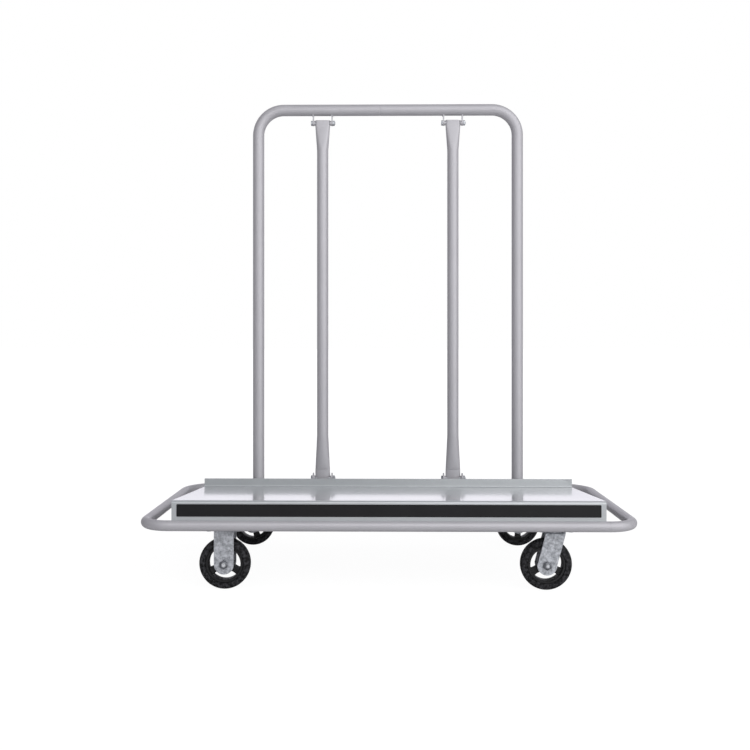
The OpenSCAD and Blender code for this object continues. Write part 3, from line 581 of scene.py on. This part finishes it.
leg_bolt = hex_outline(-bolt_head_h, bolt_head_h, bolt_r, bolt_af, beam_d)
bolts = [turned(leg_bolt, np.array([side * leg_x, hoop_y + beam_d / 2, leg_z - beam_wall + beam_h / 2]),
                -Y, bolt_af) for side in (-1, 1)]
piece("leg_hex_bolts", bolts, nut_zinc, stands_for=["leg_bolts"])

grip = plate_t + channel_t
caster_bolt = hex_outline(-low_head_h, low_head_h, bolt_r, bolt_af, grip + nut_h + bolt_proud)
caster_nut = nut_ring(grip, nut_h, bolt_r + thread_gap, bolt_af)
bolts, nuts = [], []
for x in (rigid_x, swivel_x):
    for y in (-caster_y, caster_y):
        for dx in (-hole_x, hole_x):
            for dy in (-hole_y, hole_y):
                at = np.array([x + dx, y + dy, plate_z])
                bolts.append(turned(caster_bolt, at, Z, bolt_af, sides=48))
                nuts.append(turned(caster_nut, at, Z, bolt_af, True, sides=48))
piece("caster_hex_bolts", bolts, nut_zinc, stands_for=["caster_bolts"])
piece("caster_hex_nuts", nuts, nut_zinc, stands_for=["caster_nuts"])


def fork_strap(x, y, top, back, foot_start=0.04, foot_rows=18, bend_steps=10):
    """Fork: one strap up a leg, over the crown and down the other leg. A leg's foot is a half disc round the
    axle, and it leans back by an even share of the trail from the crown to the axle."""
    half = fork_half - fork_t / 2
    crown, neck = top - fork_t / 2, top - fork_neck
    swing = np.linspace(foot_start, np.pi / 2, foot_rows)
    leg = np.concatenate([axle_z - fork_w / 2 * np.cos(swing), [0.5 * (axle_z + neck)]])
    under = neck - fork_bend_r
    over, over_heading = bent_line([(half, under), (half, crown), (-half, crown), (-half, under)],
                                   [fork_bend_r - fork_t / 2] * 2, bend_steps)
    line = np.concatenate([np.stack([half + 0 * leg, leg], -1), over,
                           np.stack([-half + 0 * leg, leg[::-1]], -1)])
    heading = np.concatenate([np.tile([0.0, 1.0], (len(leg), 1)), over_heading,
                              np.tile([0.0, -1.0], (len(leg), 1))])
    down = np.clip(axle_z - line[:, 1], 0, fork_w / 2)
    shift = -back * np.clip((neck - line[:, 1]) / (neck - axle_z), 0, 1)
    return strap(line, heading, np.array([x, y, 0]), Y, Z, np.sqrt((fork_w / 2) ** 2 - down ** 2), fork_t,
                 fork_edge, shift)


def tyre_ring(x, y, shoulder_rows=14, sides=128):
    """Solid tyre: seat, side walls with two fine moulded rings, round shoulders and a parting line, turned
    round the axle."""
    half, tread_r = wheel_w / 2, wheel_r - parting_h
    turn = np.linspace(0, np.pi / 2, shoulder_rows)
    shoulder = np.stack([half - shoulder_r + shoulder_r * np.cos(turn),
                         tread_r - shoulder_r + shoulder_r * np.sin(turn)], -1)
    ridge = np.array([(parting_w, tread_r), (parting_w / 2, wheel_r)])
    right = np.concatenate([tyre_wall + (half, seat_r), shoulder, ridge])
    return turned(np.concatenate([right, right[::-1] * (-1, 1)]), np.array([x, y, axle_z]), Y, ring=True,
                  sides=sides)


def wheel_shells(x, y, spoke_angle, spoke_rows=26, sides=128):
    """Moulded wheel: a rim and a hub turned round the axle, and spokes whose width and thickness grow
    towards both ends by decaying powers of e, as a moulded fillet does."""
    at = np.array([x, y, axle_z])
    e, h = rim_edge, rim_w / 2
    rim = turned([(-h + e, seat_r), (h - e, seat_r), (h, seat_r - e), (h, rim_r + rim_lip),
                  (h - e, rim_r + rim_draft), (h / 2, rim_r + rim_crown), (0, rim_r),
                  (-h / 2, rim_r + rim_crown), (-h + e, rim_r + rim_draft), (-h, rim_r + rim_lip),
                  (-h, seat_r - e)], at, Y, ring=True, sides=sides)
    w, low = wheel_w / 2, hub_r - hub_draft
    hub = turned([(-w, bush_r), (-w, low - hub_edge), (-w + hub_edge, low), (0, hub_r), (w - hub_edge, low),
                  (w, low - hub_edge), (w, bush_r)], at, Y, ring=True)
    shells = [rim, hub]
    r = np.linspace(hub_r - spoke_in_hub, rim_r + spoke_in_rim, spoke_rows)
    flare = (np.exp(-np.maximum(r - hub_r, 0) / spoke_fillet)
             + np.exp(-np.maximum(rim_r - r, 0) / spoke_fillet))
    for turn in np.radians(spoke_angle + 360 / spoke_count * np.arange(spoke_count)):
        ahead = np.array([math.cos(turn), math.sin(turn)])
        shells.append(strap(r[:, None] * ahead, np.tile(ahead, (len(r), 1)), at, X, Z,
                            spoke_t / 2 + spoke_grow_t * flare,
                            spoke_w - spoke_waist + spoke_grow_w * flare, spoke_edge))
    return shells


def axle_shells(x, y, outward):
    """Axle bolt through fork and wheel, and its lock nut on the outer side."""
    at = np.array([x, y, axle_z])
    bolt = turned(hex_outline(-fork_half - axle_head_h, axle_head_h, axle_r, axle_af,
                              2 * fork_half + axle_nut_h + bolt_proud, axle_tip), at, outward, axle_af)
    nut = turned(lock_ring(fork_half, axle_nut_h, axle_r + thread_gap, axle_af), at, outward, axle_af, True)
    return bolt, nut


def race_ring(x, y):
    """Swivel raceway turned round the kingpin: a wide lower ring with eased edges, and a narrower ring on it
    that stops short of the top plate."""
    bore, neck_r, top = kingpin_r + thread_gap, race_r - race_step, swivel_h - race_gap
    shelf = race_low_h + race_shelf
    return turned([(0, bore), (0, race_r - race_edge), (race_edge, race_r),
                   (race_low_h - race_low_edge, race_r), (race_low_h, race_r - race_low_edge),
                   (shelf, neck_r + race_fillet), (shelf + race_fillet, neck_r), (top - race_edge, neck_r),
                   (top, neck_r - race_edge), (top, bore)], np.array([x, y, swivel_z]), Z, ring=True)


# Casters: rigid ones on the left, whose axle bolts and nuts share one piece, and swivel ones on the right
rigid_bolts, rigid_nuts = [], []
for end, side in (("front", -1), ("rear", 1)):
    y = side * caster_y
    for hand, x, top, back in (("left", rigid_x, plate_z, 0.0), ("right", wheel_x, swivel_z, trail)):
        key = f"{end}_{hand}"
        carrier = "frame" if hand == "left" else f"{key}_swivel_body"
        wheel_body = f"{key}_wheel_body"
        pivot = x + back
        piece(f"{key}_fork_strap", [fork_strap(pivot, y, top, back)], fork_zinc, carrier,
              [f"{key}_fork"])
        piece(f"{key}_solid_tyre", [tyre_ring(x, y)], rubber, wheel_body, [f"{key}_tyre"])
        piece(f"{key}_spoked_wheel", wheel_shells(x, y, spoke_angles[key]), nylon, wheel_body,
              [f"{key}_wheel"])
        piece(f"{key}_top_plate", [slab(plate_w / 2, plate_d / 2, plate_corner_r, np.array([pivot, y, plate_z]),
                                        X, Y, Z, plate_t, plate_edge, steps=10)],
              fork_zinc, "frame", [f"{key}_plate"])
        bolt, nut = axle_shells(x, y, side * Y)
        if hand == "left":
            rigid_bolts.append(bolt)
            rigid_nuts.append(nut)
        else:
            piece(f"{key}_axle_hex_bolt", [bolt], axle_zinc_painted_highlight, carrier, [f"{key}_axle_bolt"])
            piece(f"{key}_axle_lock_nut", [nut], steel_darkened_as_painted_shade, carrier, [f"{key}_axle_nut"])
            piece(f"{key}_swivel_race", [race_ring(pivot, y)], fork_zinc, carrier, [f"{key}_race"])
piece("rigid_axle_hex_bolts", rigid_bolts, axle_zinc_painted_highlight, stands_for=["rigid_axle_bolts"])
piece("rigid_axle_lock_nuts", rigid_nuts, steel_darkened_as_painted_shade, stands_for=["rigid_axle_nuts"])


def flat_square(name, half, z, material):
    """A flat square for the stage, with its half size and height in metres."""
    mesh = bpy.data.meshes.new(name)
    mesh.from_pydata([(-half, -half, z), (half, -half, z), (half, half, z), (-half, half, z)], [],
                     [(0, 1, 2, 3)])
    mesh.materials.append(material)
    square = bpy.data.objects.new(name, mesh)
    bpy.context.scene.collection.objects.link(square)


def floor_paper(near=0.9, far=2.4, near_share=0.88):
    """White paper floor: it glows white to the camera but for a share that shows the object's shadow near it,
    and fades to pure white between the near and the far distance in metres."""
    material, tree, place = new_material("white_paper_floor")
    path = add(tree, "ShaderNodeLightPath", {})
    paper = add(tree, "ShaderNodeBsdfDiffuse", {"Color": linear("e2e2e2")})
    glow = add(tree, "ShaderNodeEmission", {"Color": linear("ffffff"), "Strength": 1.09})
    away = add(tree, "ShaderNodeVectorMath", {0: place}, operation="LENGTH")
    white = add(tree, "ShaderNodeMapRange", {
        "Value": away.outputs["Value"], "From Min": near, "From Max": far, "To Min": near_share, "To Max": 1.0})
    share = add(tree, "ShaderNodeMath", {0: path.outputs["Is Camera Ray"], 1: white.outputs[0]},
                operation="MULTIPLY")
    close(tree, add(tree, "ShaderNodeMixShader", {
        0: share.outputs[0], 1: paper.outputs[0], 2: glow.outputs[0]}))
    return material


flat_square("floor", half=60.0, z=0.0, material=floor_paper())

# World: white to the camera; in reflections white behind the object and dimmer at the sides and in front
room_strength, back_strength = 0.35, 1.24
scene = bpy.context.scene
world = bpy.data.worlds.new("studio")
scene.world = world
world.use_nodes = True
sky = world.node_tree
sky.nodes.clear()
ray = add(sky, "ShaderNodeLightPath", {})
facing = add(sky, "ShaderNodeSeparateXYZ", {0: add(sky, "ShaderNodeTexCoord", {}).outputs["Generated"]})
behind = add(sky, "ShaderNodeMapRange", {
    "Value": facing.outputs["Y"], "From Min": 0.75, "From Max": 0.93,
    "To Min": room_strength, "To Max": back_strength})
shiny = add(sky, "ShaderNodeMix", {
    "Factor": ray.outputs["Is Glossy Ray"], "A": room_strength, "B": behind.outputs[0]})
room = add(sky, "ShaderNodeBackground", {"Color": linear("f9f7ff"), "Strength": shiny.outputs["Result"]})
white = add(sky, "ShaderNodeBackground", {"Color": linear("ffffff"), "Strength": 1.0})
seen = add(sky, "ShaderNodeMixShader", {
    0: ray.outputs["Is Camera Ray"], 1: room.outputs[0], 2: white.outputs[0]})
add(sky, "ShaderNodeOutputWorld", {"Surface": seen.outputs[0]})


def soft_box(name, place, target, width, height, power):
    """A rectangular area lamp that faces its target, with places and sizes in metres and power in watts."""
    lamp = bpy.data.lights.new(name, "AREA")
    lamp.shape = "RECTANGLE"
    lamp.size, lamp.size_y = width, height
    lamp.energy = power
    box = bpy.data.objects.new(name, lamp)
    box.location = place
    ahead = np.array(target) - np.array(place)
    box.rotation_euler = (math.atan2(math.hypot(ahead[0], ahead[1]), -ahead[2]), 0,
                          math.atan2(ahead[1], ahead[0]) - math.pi / 2)
    scene.collection.objects.link(box)


# Light: one large soft key from the front right, and a weak wide lamp from the front left
cart_middle = (0, 0, 0.6)
soft_box("key_box", (2.2, -2.6, 2.45), cart_middle, width=5.4, height=5.4, power=152)
soft_box("front_box", (-0.7, -1.9, 1.45), cart_middle, width=2.4, height=1.0, power=9)

# The camera that was fitted to the photograph: focal length and frame in pixels, places in millimetres
frame_px, focal_px = 750, 947.0
eye, turn_deg = np.array([-8.6, -2548.5, 604.5]), 0.75
centre_px = np.array([372.3, 340.0])
camera = bpy.data.cameras.new("camera")
camera.sensor_width = 36.0
camera.lens = focal_px / frame_px * camera.sensor_width
camera.shift_x = (frame_px / 2 - centre_px[0]) / frame_px
camera.shift_y = -(frame_px / 2 - centre_px[1]) / frame_px
viewer = bpy.data.objects.new("camera", camera)
viewer.location = eye * MM
viewer.rotation_euler = (math.pi / 2, 0, math.radians(turn_deg))
scene.collection.objects.link(viewer)
scene.camera = viewer
scene.view_settings.view_transform = "Standard"
